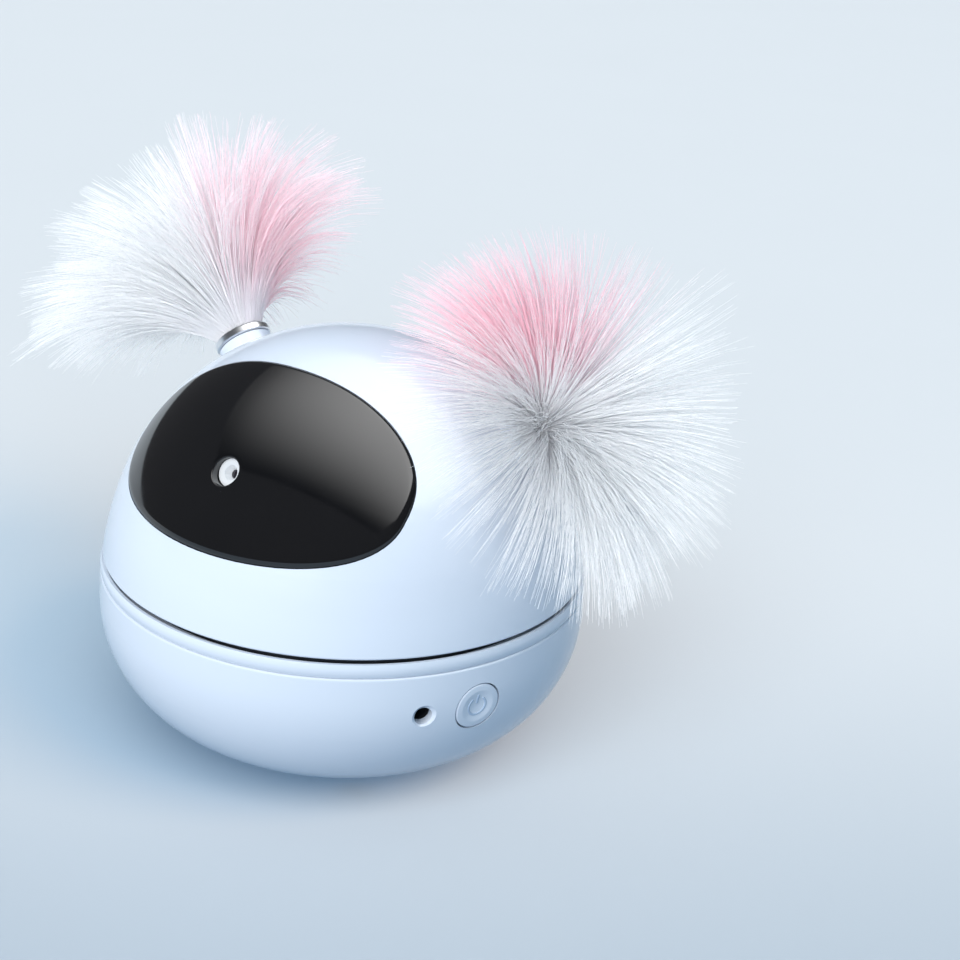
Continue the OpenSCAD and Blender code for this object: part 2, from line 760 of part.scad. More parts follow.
// Each brush is a bent leaf: a tab on the turntable, and a spring arm that reaches its track
brush_tab = 4;
brush_reach = 9;
brush_shoe = 2;
brush_t = 0.3;
module contact_brushes() {
    track_z = deck_top + contact_t + track_t + 2 * fit;
    bend = brush_reach - brush_shoe;
    color("gold") for (s = [-1, 1])
        rotate([0, 0, s > 0 ? 0 : 180]) translate([0, -track_r(s) - track_w / 2, 0])
            rotate([0, -90, -90]) linear_extrude(track_w) polygon([
                [table_z, -brush_tab], [table_z, 0], [track_z + brush_t, bend],
                [track_z + brush_t, brush_reach], [track_z, brush_reach], [track_z, bend],
                [table_z - brush_t, -brush_t], [table_z - brush_t, -brush_tab]
            ]);
}

// Eye

bezel_h = 1.6;
bezel_d = eye_hole_d - 4 * fit;
bezel_lip = 1.3;
bezel_wall = 2.1;
lens_d = barrel_d - 2 * bezel_wall;
lens_h = 1;
module eye_bezel() {
    color("silver") at_eye() translate([0, 0, -eye_recess - bezel_h]) difference() {
        cylinder(d = bezel_d, h = bezel_h);
        translate([0, 0, -fit]) cylinder(d1 = lens_d, d2 = bezel_d - 2 * bezel_lip, h = bezel_h + 2 * fit);
    }
}

module eye_barrel() {
    color("darkgoldenrod") at_eye() translate([0, 0, -eye_recess - bezel_h - barrel_l]) difference() {
        cylinder(d = barrel_d, h = barrel_l);
        translate([0, 0, barrel_l - lens_h]) cylinder(d = lens_d + 2 * fit, h = 2 * lens_h);
    }
}

module eye_lens() {
    color("darkslategrey") at_eye() translate([0, 0, -eye_recess - bezel_h - lens_h])
        cylinder(d = lens_d, h = lens_h);
}

clamp_wall = 2;
clamp_d = barrel_d + 2 * clamp_wall;
clamp_w = 7;
clamp_back = 3;
clamp_depth = eye_recess + bezel_h + clamp_back;
bracket_w = 20;
bracket_foot_t = 2;
bracket_stalk_t = 4;
bracket_screw_d = 2;
bracket_screw_l = 3.8;
bracket_screw_in = 3;
clamp_mid = clamp_depth + clamp_w / 2;
clamp_at = [0, eye_at[1] + clamp_mid * cos(beam_elev), eye_at[2] - clamp_mid * sin(beam_elev)];
module at_bracket_screws() {
    for (s = [-1, 1]) translate([s * (bracket_w / 2 - bracket_screw_in), clamp_at[1], table_top]) children();
}
module eye_bracket() {
    color(inner_colour) difference() {
        union() {
            at_eye() translate([0, 0, -clamp_depth - clamp_w]) cylinder(d = clamp_d, h = clamp_w);
            translate([-bracket_stalk_t / 2, clamp_at[1] - clamp_d / 2, table_top])
                cube([bracket_stalk_t, clamp_d, clamp_at[2] - table_top]);
            translate([-bracket_w / 2, clamp_at[1] - clamp_d / 2, table_top])
                cube([bracket_w, clamp_d, bracket_foot_t]);
        }
        at_eye() translate([0, 0, -2 * barrel_l]) cylinder(d = barrel_d + 2 * fit, h = 2 * barrel_l);
        at_bracket_screws() translate([0, 0, -over])
            cylinder(d = bracket_screw_d + 2 * fit, h = bracket_foot_t + 2 * over);
    }
}

module bracket_screws() {
    color(steel_colour) at_bracket_screws() translate([0, 0, bracket_foot_t]) mirror([0, 0, 1])
        screw(bracket_screw_d, bracket_screw_l, 2 * bracket_screw_d, bracket_screw_d / 2);
}

// Tufts

edge_cut = 0.25;
nut_d = 16;
nut_h = 3;
nut_z = sqrt(pow(top_r - wall, 2) - pow(nut_d / 2, 2)) - top_r - fit;
socket_bore_l = stem_l + pass;
module socket(side) {
    color(shell_colour) at_socket(side) difference() {
        union() {
            translate([0, 0, -socket_seat]) capped(neck_d / 2, neck_rise + socket_seat, edge_cut);
            translate([0, 0, -socket_l]) cylinder(d = socket_shank_d, h = socket_l);
        }
        translate([0, 0, neck_rise - socket_bore_l])
            cylinder(d = stem_d + 2 * running, h = socket_bore_l + over);
    }
}
module socket_left() { socket(-1); }
module socket_right() { socket(1); }

module socket_nuts() {
    color(inner_colour) for (s = [-1, 1]) at_socket(s) translate([0, 0, nut_z - nut_h]) difference() {
        cylinder(d = nut_d, h = nut_h, $fn = 6);
        translate([0, 0, -over]) cylinder(d = socket_shank_d + 2 * fit, h = nut_h + 2 * over);
    }
}

// The ferrule is a shallow cup with a stem, and the strands' backing sits in the cup
ferrule_z = neck_rise + running;
cup_wall = 0.8;
cup_depth = 0.9;
backing_r = ferrule_d / 2 - cup_wall - fit;
backing_z = ferrule_z + ferrule_h - cup_depth + fit;
backing_top = ferrule_z + ferrule_h;
module ferrule(side) {
    color(steel_colour) at_socket(side) difference() {
        union() {
            translate([0, 0, ferrule_z]) capped(ferrule_d / 2, ferrule_h, edge_cut, edge_cut);
            translate([0, 0, ferrule_z - stem_l]) cylinder(d = stem_d, h = stem_l + fit);
        }
        translate([0, 0, backing_top - cup_depth]) cylinder(d = ferrule_d - 2 * cup_wall, h = 2 * cup_depth);
    }
}
module ferrule_left() { ferrule(-1); }
module ferrule_right() { ferrule(1); }

// The strands stand on a sunflower pattern and lean out in proportion to their distance from
// the middle, so none crosses another
strand_sides = 3;
strand_steps = 3;
strand_depth = 0.3;
strand_first = strand_lean + (strand_spread - strand_lean) / strand_steps / 2;
strand_field_r = backing_r - strand_depth * tan(strand_first) - strand_root_r / cos(strand_first);
golden_turn = 137.508;
function strand_share(i) = sqrt((i + 0.5) / strand_count);
function strand_length(i) = strand_l * (1 - strand_ragged * (i * golden_turn / 100 % 1));
function strand_angle(i, k) =
    strand_share(i) * (strand_lean + (strand_spread - strand_lean) * k / strand_steps);
function strand_step(i, k) =
    strand_length(i) / strand_steps * [sin(strand_angle(i, k - 0.5)), cos(strand_angle(i, k - 0.5))];
function strand_point(i, k) =
    k == 0 ? [strand_field_r * strand_share(i), -strand_depth] : strand_point(i, k - 1) + strand_step(i, k);
function strand_radius(k) = strand_root_r + (strand_tip_r - strand_root_r) * k / strand_steps;
function strand_ring(i, k) =
    let (
        turn = i * golden_turn,
        lean = strand_angle(i, k),
        middle = strand_point(i, k),
        r = strand_radius(k)
    )
    [for (j = [0 : strand_sides - 1]) let (
        a = 360 * j / strand_sides,
        out = middle[0] + r * cos(a) * cos(lean),
        across = r * sin(a),
        up = middle[1] - r * cos(a) * sin(lean)
    ) [out * cos(turn) - across * sin(turn), out * sin(turn) + across * cos(turn), up]];
strand_rings = strand_steps + 1;
function ring_at(i, k) = (i * strand_rings + k) * strand_sides;
function strand_faces(i) = concat(
    [[for (j = [0 : strand_sides - 1]) ring_at(i, 0) + j]],
    [[for (j = [strand_sides - 1 : -1 : 0]) ring_at(i, strand_steps) + j]],
    [for (k = [0 : strand_steps - 1], j = [0 : strand_sides - 1], half = [0, 1])
        let (next = (j + 1) % strand_sides)
        half == 0 ? [ring_at(i, k) + j, ring_at(i, k + 1) + j, ring_at(i, k + 1) + next]
        : [ring_at(i, k) + j, ring_at(i, k + 1) + next, ring_at(i, k) + next]]
);
module strands(side) {
    color("mistyrose") at_socket(side) {
        translate([0, 0, backing_z]) cylinder(r = backing_r, h = backing_top - backing_z);
        translate([0, 0, backing_top]) polyhedron(
            points = [for (i = [0 : strand_count - 1], k = [0 : strand_steps]) each strand_ring(i, k)],
            faces = [for (i = [0 : strand_count - 1]) each strand_faces(i)]
        );
    }
}
module strands_left() { strands(-1); }
module strands_right() { strands(1); }

base_bowl();
collar_ring();
foot_pad();
base_screws();
deck_plate();
contact_ring();
thrust_washer();
retaining_washer();
retaining_screw();
motor_can();
motor_gearbox();
motor_screws();
main_board();
board_parts();
tact_switch();
charge_jack();
jack_pin();
battery_cell();
motor_shaft();
drive_pinion();
head_shell();
visor();
turntable();
drive_gear();
head_screws();
hub_bush();
contact_brushes();
eye_bezel();
eye_barrel();
eye_lens();
eye_bracket();
bracket_screws();
socket_left();
socket_right();
socket_nuts();
ferrule_left();
strands_left();
ferrule_right();
strands_right();
power_button();
switch_plunger();
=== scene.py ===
import json
import math

import bpy
import numpy as np
from mathutils import Matrix, Vector


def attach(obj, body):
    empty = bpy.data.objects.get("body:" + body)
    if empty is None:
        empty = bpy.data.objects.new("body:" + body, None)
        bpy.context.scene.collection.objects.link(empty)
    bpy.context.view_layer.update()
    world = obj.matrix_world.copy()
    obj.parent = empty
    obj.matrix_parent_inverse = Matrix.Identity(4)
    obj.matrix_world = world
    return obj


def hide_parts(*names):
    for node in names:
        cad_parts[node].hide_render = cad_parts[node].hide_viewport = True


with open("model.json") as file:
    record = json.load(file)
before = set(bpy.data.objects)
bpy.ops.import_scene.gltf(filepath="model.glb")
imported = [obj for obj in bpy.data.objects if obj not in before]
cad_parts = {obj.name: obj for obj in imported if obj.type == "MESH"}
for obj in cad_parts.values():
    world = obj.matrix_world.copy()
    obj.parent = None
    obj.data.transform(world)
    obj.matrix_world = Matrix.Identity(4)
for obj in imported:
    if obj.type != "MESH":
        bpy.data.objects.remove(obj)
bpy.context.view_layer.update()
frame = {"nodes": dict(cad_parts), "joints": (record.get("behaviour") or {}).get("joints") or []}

# Camera: a long lens a little above the toy, to the right of its face. It stands where the
# photograph was taken from, and leans a few degrees so that the floor falls to the right.
camera_place = Vector((0.230058, -0.304993, 0.217431))
camera_turn = math.radians(32.853)
camera_height = math.radians(22.477)
camera_lean = math.radians(4.318)
camera_lens = 73.04
camera_clip = 0.01


def camera_axes():
    back = Vector((
        math.sin(camera_turn) * math.cos(camera_height),
        -math.cos(camera_turn) * math.cos(camera_height),
        math.sin(camera_height),
    ))
    level = Vector((math.cos(camera_turn), math.sin(camera_turn), 0))
    upright = back.cross(level)
    right = level * math.cos(camera_lean) + upright * math.sin(camera_lean)
    return right, back.cross(right), back


camera_data = bpy.data.cameras.new("camera")
camera_data.lens = camera_lens
camera_data.clip_start = camera_clip
camera = bpy.data.objects.new("camera", camera_data)
camera.matrix_world = Matrix.Translation(camera_place) @ Matrix(camera_axes()).transposed().to_4x4()
bpy.context.scene.collection.objects.link(camera)
bpy.context.scene.camera = camera

# Floor: a wide matt sheet, pale blue, darker towards the front as painted shade, with the faintest
# mottle. The helpers here start a finish, read a soft noise in millimetres and mix by it.
floor_half = 40.0
floor_painted_shade = (0.385, 0.455, 0.535)
floor_far = (0.66, 0.685, 0.72)
floor_painted_shade_at = -0.18
floor_far_at = 0.12
floor_mottle = 0.985
floor_mottle_mm = 90
floor_rough = 0.9
floor_shine = 0.1
smooth_turn = 35


def start_finish(name):
    made = bpy.data.materials.new(name)
    made.use_nodes = True
    return made, made.node_tree.nodes["Principled BSDF"]


def add_node(made, kind, **settings):
    node = made.node_tree.nodes.new(kind)
    for key, value in settings.items():
        setattr(node, key, value)
    return node


def set_sockets(node, values):
    for key, value in values.items():
        node.inputs[key].default_value = value


def join_sockets(made, source, target):
    made.node_tree.links.new(source, target)


def clouds(made, size_mm, detail=2.0, stretch=(1, 1, 1)):
    """A soft noise from 0 to 1 whose patches are about size_mm across."""
    place = add_node(made, "ShaderNodeTexCoord")
    scale = add_node(made, "ShaderNodeMapping")
    noise = add_node(made, "ShaderNodeTexNoise")
    set_sockets(scale, {"Scale": stretch})
    set_sockets(noise, {"Scale": 1000 / size_mm, "Detail": detail})
    join_sockets(made, place.outputs["Object"], scale.inputs["Vector"])
    join_sockets(made, scale.outputs["Vector"], noise.inputs["Vector"])
    return noise.outputs["Fac"]


def blend_colours(made, share, low, high):
    """A colour between low and high, each of which is a colour or another node's output."""
    mix = add_node(made, "ShaderNodeMix", data_type="RGBA")
    join_sockets(made, share, mix.inputs["Factor"])
    for end, colour in (("A_Color", low), ("B_Color", high)):
        socket = next(s for s in mix.inputs if s.identifier == end)
        if isinstance(colour, tuple):
            socket.default_value = (*colour, 1)
        else:
            join_sockets(made, colour, socket)
    return next(s for s in mix.outputs if s.identifier == "Result_Color")


def ramp(made, share, start, end, low, high):
    """A smooth step from low to high as share goes from start to end."""
    span = add_node(made, "ShaderNodeMapRange", interpolation_type="SMOOTHSTEP")
    set_sockets(span, {"From Min": start, "From Max": end, "To Min": low, "To Max": high})
    join_sockets(made, share, span.inputs["Value"])
    return span.outputs["Result"]


def mesh_piece(name, points, faces, sharp_turn=smooth_turn):
    """A new object from points and faces, shaded smooth except across edges past sharp_turn degrees."""
    mesh = bpy.data.meshes.new(name)
    mesh.from_pydata(points, [], faces)
    mesh.polygons.foreach_set("use_smooth", [True] * len(mesh.polygons))
    mesh.set_sharp_from_angle(angle=math.radians(sharp_turn))
    mesh.update()
    piece = bpy.data.objects.new(name, mesh)
    bpy.context.scene.collection.objects.link(piece)
    return piece


def dulled(colour):
    return tuple(floor_mottle * channel for channel in colour)


floor_finish, floor_shader = start_finish("floor_sheet")
floor_place = add_node(floor_finish, "ShaderNodeTexCoord")
floor_depth = add_node(floor_finish, "ShaderNodeVectorMath", operation="DOT_PRODUCT")
floor_depth.inputs[1].default_value = (-math.sin(camera_turn), math.cos(camera_turn), 0)
join_sockets(floor_finish, floor_place.outputs["Object"], floor_depth.inputs[0])
# Painted shade: the floor's colour darkens from far to near along the camera's view.
floor_shade_share = ramp(floor_finish, floor_depth.outputs["Value"], floor_painted_shade_at, floor_far_at, 0, 1)
floor_plain = blend_colours(floor_finish, floor_shade_share, floor_painted_shade, floor_far)
floor_dull = blend_colours(floor_finish, floor_shade_share, dulled(floor_painted_shade), dulled(floor_far))
floor_tone = blend_colours(floor_finish, clouds(floor_finish, floor_mottle_mm), floor_plain, floor_dull)
join_sockets(floor_finish, floor_tone, floor_shader.inputs["Base Color"])
set_sockets(floor_shader, {"Roughness": floor_rough, "Specular IOR Level": floor_shine})
floor_corners = [(x * floor_half, y * floor_half, 0) for x, y in ((-1, -1), (1, -1), (1, 1), (-1, 1))]
floor = mesh_piece("floor", floor_corners, [(0, 1, 2, 3)])
floor.data.materials.append(floor_finish)
floor.visible_diffuse = False

# Light: a wide softbox overhead, brighter towards the right, that only reflections see; a top
# lamp, a front fill and a weaker one behind for the toy; a cool and a warm sun for the floor; and
# a blue sky, deeper below the horizon, dim and neutral in reflections and pale to the camera.
softbox_z = 1.2
softbox_low = (-1.35, -0.95)
softbox_high = (1.3, 1.0)
softbox_dim = 0.25
softbox_bright = 3.3
softbox_full_x = 0.25
softbox_full_y = 0.25
top_power = 5.0
top_size = 1.8
top_place = Vector((-0.1, 0.1, 1.2))
fill_power = 11.5
fill_size = 0.8
fill_place = Vector((0.10, -0.95, 0.60))
back_power = 3.2
back_place = Vector((-0.35, 0.90, 0.50))
lamp_aim = Vector((0, 0, 0.05))
cool_sun_power = 3.3
cool_sun_colour = (0.80, 0.93, 1.0)
cool_sun_angle = math.radians(60)
cool_sun_from = Vector((0.43, -0.66, 0.62))
warm_sun_power = 1.95
warm_sun_colour = (1.0, 0.67, 0.37)
warm_sun_angle = math.radians(36)
warm_sun_from = Vector((0.90, 0.06, 0.80))
sky_colour = (0.21, 0.34, 0.46)
sky_low = (0.115, 0.235, 0.38)
sky_low_at = -0.2
sky_high_at = 0.1
sky_mirrored = (0.085, 0.085, 0.09)
sky_seen = (0.75, 0.82, 0.89)

softbox_finish = bpy.data.materials.new("softbox_cloth")
softbox_finish.use_nodes = True
softbox_finish.node_tree.nodes.clear()
softbox_finish.cycles.emission_sampling = "NONE"
softbox_place = add_node(softbox_finish, "ShaderNodeTexCoord")
softbox_split = add_node(softbox_finish, "ShaderNodeSeparateXYZ")
softbox_both = add_node(softbox_finish, "ShaderNodeMath", operation="MULTIPLY")
softbox_glow = add_node(softbox_finish, "ShaderNodeEmission")
softbox_out = add_node(softbox_finish, "ShaderNodeOutputMaterial")
softbox_across = ramp(
    softbox_finish, softbox_split.outputs["X"], softbox_low[0], softbox_full_x, softbox_dim, softbox_bright
)
softbox_along = ramp(softbox_finish, softbox_split.outputs["Y"], softbox_low[1], softbox_full_y, 0, 1)
join_sockets(softbox_finish, softbox_place.outputs["Object"], softbox_split.inputs["Vector"])
join_sockets(softbox_finish, softbox_across, softbox_both.inputs[0])
join_sockets(softbox_finish, softbox_along, softbox_both.inputs[1])
join_sockets(softbox_finish, softbox_both.outputs[0], softbox_glow.inputs["Strength"])
join_sockets(softbox_finish, softbox_glow.outputs[0], softbox_out.inputs["Surface"])
softbox_corners = [
    (softbox_low[0], softbox_low[1], softbox_z),
    (softbox_low[0], softbox_high[1], softbox_z),
    (softbox_high[0], softbox_high[1], softbox_z),
    (softbox_high[0], softbox_low[1], softbox_z),
]
softbox = mesh_piece("softbox", softbox_corners, [(0, 1, 2, 3)])
softbox.data.materials.append(softbox_finish)
softbox.visible_camera = False
softbox.visible_diffuse = False
softbox.visible_shadow = False

all_but_floor = bpy.data.collections.new("all_but_floor")
all_but_floor.objects.link(floor)
all_but_floor.collection_objects[0].light_linking.link_state = "EXCLUDE"
floor_only = bpy.data.collections.new("floor_only")
floor_only.objects.link(floor)


def soft_lamp(name, power, size, place, lit):
    """A square lamp that looks at the toy, lights one collection and shows in no reflection."""
    data = bpy.data.lights.new(name, "AREA")
    data.energy = power
    data.size = size
    lamp = bpy.data.objects.new(name, data)
    lamp.location = place
    lamp.rotation_mode = "QUATERNION"
    lamp.rotation_quaternion = (lamp_aim - place).to_track_quat("-Z", "Y")
    lamp.visible_glossy = False
    lamp.light_linking.receiver_collection = lit
    bpy.context.scene.collection.objects.link(lamp)


def floor_sun(name, power, colour, angle, source):
    """A wide soft sun that lights the floor alone, evenly all over."""
    data = bpy.data.lights.new(name, "SUN")
    data.energy = power
    data.color = colour
    data.angle = angle
    lamp = bpy.data.objects.new(name, data)
    lamp.rotation_mode = "QUATERNION"
    lamp.rotation_quaternion = source.to_track_quat("Z", "Y")
    lamp.light_linking.receiver_collection = floor_only
    bpy.context.scene.collection.objects.link(lamp)


soft_lamp("top_lamp", top_power, top_size, top_place, all_but_floor)
soft_lamp("fill", fill_power, fill_size, fill_place, all_but_floor)
soft_lamp("back_fill", back_power, fill_size, back_place, all_but_floor)
floor_sun("cool_sun", cool_sun_power, cool_sun_colour, cool_sun_angle, cool_sun_from)
floor_sun("warm_sun", warm_sun_power, warm_sun_colour, warm_sun_angle, warm_sun_from)

sky = bpy.data.worlds.new("sky")
sky.use_nodes = True
sky_place = add_node(sky, "ShaderNodeTexCoord")
sky_split = add_node(sky, "ShaderNodeSeparateXYZ")
sky_path = add_node(sky, "ShaderNodeLightPath")
join_sockets(sky, sky_place.outputs["Generated"], sky_split.inputs["Vector"])
sky_height = ramp(sky, sky_split.outputs["Z"], sky_low_at, sky_high_at, 0, 1)
sky_lit = blend_colours(sky, sky_height, sky_low, sky_colour)
sky_back = blend_colours(sky, sky_path.outputs["Is Glossy Ray"], sky_lit, sky_mirrored)
sky_tone = blend_colours(sky, sky_path.outputs["Is Camera Ray"], sky_back, sky_seen)
join_sockets(sky, sky_tone, sky.node_tree.nodes["Background"].inputs["Color"])
bpy.context.scene.world = sky
bpy.context.scene.view_settings.view_transform = "Standard"

# Foot pad: a round of soft grey silicone in a shallow recess under the bowl. It is moulded,
# glued in, and has a fine matt grain that grips the floor.
silicone_colour = (0.50, 0.56, 0.63)
silicone_deeper = (0.44, 0.50, 0.57)
silicone_patch_mm = 6
silicone_rough = 0.72
silicone_grain_mm = 0.5
silicone_grain_depth_mm = 0.03


def tone_by(made, shader, share, low, high):
    """Colours a shader from low to high by a share."""
    join_sockets(made, blend_colours(made, share, low, high), shader.inputs["Base Color"])


def roughen(made, shader, height, depth_mm, strength=1.0):
    bump = add_node(made, "ShaderNodeBump")
    set_sockets(bump, {"Distance": depth_mm / 1000, "Strength": strength})
    join_sockets(made, height, bump.inputs["Height"])
    join_sockets(made, bump.outputs["Normal"], shader.inputs["Normal"])


def dress_nodes(finish, *names):
    for name in names:
        frame["nodes"][name].data.materials[0] = finish


silicone, silicone_shader = start_finish("soft_silicone")
tone_by(silicone, silicone_shader, clouds(silicone, silicone_patch_mm), silicone_colour, silicone_deeper)
set_sockets(silicone_shader, {"Roughness": silicone_rough})
roughen(silicone, silicone_shader, clouds(silicone, silicone_grain_mm), silicone_grain_depth_mm)
dress_nodes(silicone, "foot_pad")

# Shells: the bowl, the bead ring round its rim, the domed head and the two plug sockets are
# gloss mouldings in a pale blue white, with a hint of orange peel in the polish.
shell_colour = (0.80, 0.842, 0.915)
shell_deeper = (0.785, 0.83, 0.905)
shell_patch_mm = 28
shell_rough = (0.17, 0.23)
shell_rough_mm = 9
shell_coat = 0.2
shell_coat_rough = 0.06
shell_peel_mm = 2.4
shell_peel_depth_mm = 0.004
shell_peel_strength = 0.4
noise_low = 0.3
noise_high = 0.7


def polish_by(made, shader, share, low, high):
    """Roughness from low to high over the values that a soft noise mostly takes."""
    span = add_node(made, "ShaderNodeMapRange")
    set_sockets(span, {"From Min": noise_low, "From Max": noise_high, "To Min": low, "To Max": high})
    join_sockets(made, share, span.inputs["Value"])
    join_sockets(made, span.outputs["Result"], shader.inputs["Roughness"])


shell_gloss, shell_shader = start_finish("shell_gloss")
tone_by(shell_gloss, shell_shader, clouds(shell_gloss, shell_patch_mm), shell_colour, shell_deeper)
polish_by(shell_gloss, shell_shader, clouds(shell_gloss, shell_rough_mm), *shell_rough)
set_sockets(shell_shader, {"Coat Weight": shell_coat, "Coat Roughness": shell_coat_rough})
shell_peel = clouds(shell_gloss, shell_peel_mm)
roughen(shell_gloss, shell_shader, shell_peel, shell_peel_depth_mm, shell_peel_strength)
dress_nodes(shell_gloss, "base_bowl", "collar_ring", "head_shell", "socket_left", "socket_right")

# Screws, shaft, motor can and pin: turned or drawn steel with a fine lengthwise brushing and
# a thin film of oil in places.
steel_colour = (0.60, 0.61, 0.63)
steel_deeper = (0.47, 0.48, 0.50)
steel_brush_mm = 0.6
steel_brush_detail = 3
steel_brush_stretch = (1, 1, 0.12)
steel_rough = (0.26, 0.42)

steel, steel_shader = start_finish("drawn_steel")
steel_brush = clouds(steel, steel_brush_mm, steel_brush_detail, steel_brush_stretch)
tone_by(steel, steel_shader, steel_brush, steel_colour, steel_deeper)
polish_by(steel, steel_shader, steel_brush, *steel_rough)
set_sockets(steel_shader, {"Metallic": 1.0})
dress_nodes(
    steel, "base_screws", "retaining_washer", "retaining_screw", "motor_can", "motor_screws",
    "motor_shaft", "jack_pin", "head_screws", "bracket_screws",
)

# Deck, turntable, eye bracket and socket nuts: inner plastic mouldings, left with the fine spark texture
# of the tool. Only their edge shows, in the seam under the head; their near black is painted shade for
# that seam.
# Painted shade: near black, so that the seam under the head reads dark.
inner_shade_colour = (0.045, 0.05, 0.058)
inner_shade_deeper = (0.06, 0.065, 0.075)
inner_patch_mm = 12
inner_rough = 0.48
inner_grain_mm = 0.4
inner_grain_depth_mm = 0.015

inner_plastic, inner_shader = start_finish("inner_plastic")
tone_by(inner_plastic, inner_shader, clouds(inner_plastic, inner_patch_mm), inner_shade_colour, inner_shade_deeper)
set_sockets(inner_shader, {"Roughness": inner_rough})
roughen(inner_plastic, inner_shader, clouds(inner_plastic, inner_grain_mm), inner_grain_depth_mm)
dress_nodes(inner_plastic, "deck_plate", "turntable", "eye_bracket", "socket_nuts")

# Gears, bush and thrust washer: milky acetal, slippery and a little translucent, so its tone
# drifts between warm and cool.
acetal_colour = (0.88, 0.88, 0.83)
acetal_deeper = (0.82, 0.83, 0.80)
acetal_patch_mm = 7
acetal_rough = (0.34, 0.44)
acetal_rough_mm = 2

acetal, acetal_shader = start_finish("milky_acetal")
tone_by(acetal, acetal_shader, clouds(acetal, acetal_patch_mm), acetal_colour, acetal_deeper)
polish_by(acetal, acetal_shader, clouds(acetal, acetal_rough_mm), *acetal_rough)
dress_nodes(acetal, "drive_pinion", "drive_gear", "hub_bush", "thrust_washer")

# Contact ring, brushes, motor gearbox and eye barrel: brass, some of it stamped and some
# turned, with a thin uneven tarnish.
brass_colour = (0.74, 0.55, 0.24)
brass_tarnish = (0.52, 0.36, 0.15)
brass_film_mm = 4
brass_film_detail = 4
brass_rough = (0.24, 0.42)

brass, brass_shader = start_finish("stamped_brass")
brass_film = clouds(brass, brass_film_mm, brass_film_detail)
tone_by(brass, brass_shader, brass_film, brass_colour, brass_tarnish)
polish_by(brass, brass_shader, brass_film, *brass_rough)
set_sockets(brass_shader, {"Metallic": 1.0})
dress_nodes(brass, "contact_ring", "contact_brushes", "motor_gearbox", "eye_barrel")

# Main board: a round of green glass laminate, held between the bowl's bosses and the deck's columns.
# Its solder mask shows the weave of the glass faintly, and the copper under it as a paler green.
board_colour = (0.02, 0.20, 0.10)
board_copper = (0.04, 0.27, 0.13)
board_copper_mm = 3
board_rough = 0.32
board_weave_count = 900
board_weave_depth_mm = 0.01
board_weave_strength = 0.3

board_mask, board_shader = start_finish("board_mask")
board_weave = add_node(board_mask, "ShaderNodeTexChecker")
board_place = add_node(board_mask, "ShaderNodeTexCoord")
set_sockets(board_weave, {"Scale": board_weave_count})
join_sockets(board_mask, board_place.outputs["Object"], board_weave.inputs["Vector"])
tone_by(board_mask, board_shader, clouds(board_mask, board_copper_mm), board_colour, board_copper)
set_sockets(board_shader, {"Roughness": board_rough})
roughen(board_mask, board_shader, board_weave.outputs["Fac"], board_weave_depth_mm, board_weave_strength)
dress_nodes(board_mask, "main_board")

# Board parts, switch, charging socket and plunger: small black mouldings with a satin grain.
# They stand on the board, apart from the plunger, which moves with the button.
black_colour = (0.022, 0.022, 0.025)
black_deeper = (0.034, 0.034, 0.037)
black_patch_mm = 2
black_rough = 0.42
black_grain_mm = 0.3
black_grain_depth_mm = 0.012

black_plastic, black_shader = start_finish("black_moulding")
tone_by(black_plastic, black_shader, clouds(black_plastic, black_patch_mm), black_colour, black_deeper)
set_sockets(black_shader, {"Roughness": black_rough})
roughen(black_plastic, black_shader, clouds(black_plastic, black_grain_mm), black_grain_depth_mm)
dress_nodes(black_plastic, "board_parts", "tact_switch", "charge_jack", "switch_plunger")

# Battery: a round cell that lies on two saddles in the bowl, in a shrink sleeve of glossy blue film.
# The film keeps slight ripples along the cell where it drew tight.
sleeve_colour = (0.06, 0.18, 0.42)
sleeve_deeper = (0.05, 0.15, 0.36)
sleeve_ripple_mm = 5
sleeve_ripple_detail = 2
sleeve_ripple_stretch = (0.3, 1, 1)
sleeve_ripple_depth_mm = 0.05
sleeve_ripple_strength = 0.5
sleeve_rough = 0.25

sleeve, sleeve_shader = start_finish("shrink_sleeve")
sleeve_ripple = clouds(sleeve, sleeve_ripple_mm, sleeve_ripple_detail, sleeve_ripple_stretch)
tone_by(sleeve, sleeve_shader, sleeve_ripple, sleeve_colour, sleeve_deeper)
set_sockets(sleeve_shader, {"Roughness": sleeve_rough})
roughen(sleeve, sleeve_shader, sleeve_ripple, sleeve_ripple_depth_mm, sleeve_ripple_strength)
dress_nodes(sleeve, "battery_cell")

# Visor: a thick black acrylic lens in an oval seat on the dome, polished, with a rounded rim
# and a hole for the eye. Its faces are parts of two spheres round the dome's centre.
dome_centre = Vector((0, 0, 0.039286))
dome_r = 0.050714
visor_proud = 0.0004
visor_depth = 0.00135
visor_out_r = dome_r + visor_proud
visor_in_r = dome_r - visor_depth
visor_middle = Vector((0, 0, 0.032))
visor_elev = math.radians(47)
visor_half_w = 0.0337
visor_half_h = 0.0209
visor_shift = 0.0035
visor_full_above = 2.45
visor_full_below = 2
visor_rim_w = 0.001
visor_rim_h = 0.0006
visor_steps = 192
visor_face_rings = 40
visor_back_rings = 12
visor_sharp_turn = 50
round_steps = 8
outline_probe = 0.01
eye_elev = math.radians(39)
eye_tilt = math.radians(27)
eye_hole_r = 0.00295
eye_rim_w = 0.0003
eye_rim_h = 0.0003
visor_colour = (0.006, 0.006, 0.0068)
visor_deeper = (0.0075, 0.0075, 0.0085)
visor_patch_mm = 14
visor_rough = (0.07, 0.10)
visor_rough_mm = 5
visor_ior = 1.7


def aimed(elev):
    """Axes of a frame whose Z looks out from the face at an angle above the horizon."""
    side = Vector((1, 0, 0))
    out = Vector((0, -math.cos(elev), math.sin(elev)))
    return side, out.cross(side), out


visor_x, visor_y, visor_z = aimed(visor_elev)
ball = dome_centre - visor_middle
ball_y, ball_z = ball.dot(visor_y), ball.dot(visor_z)


def on_ball(x, y, r):
    return ball_z + math.sqrt(r * r - x * x - (y - ball_y) ** 2)


def full(share, power):
    return math.copysign(abs(share) ** (2 / power), share)


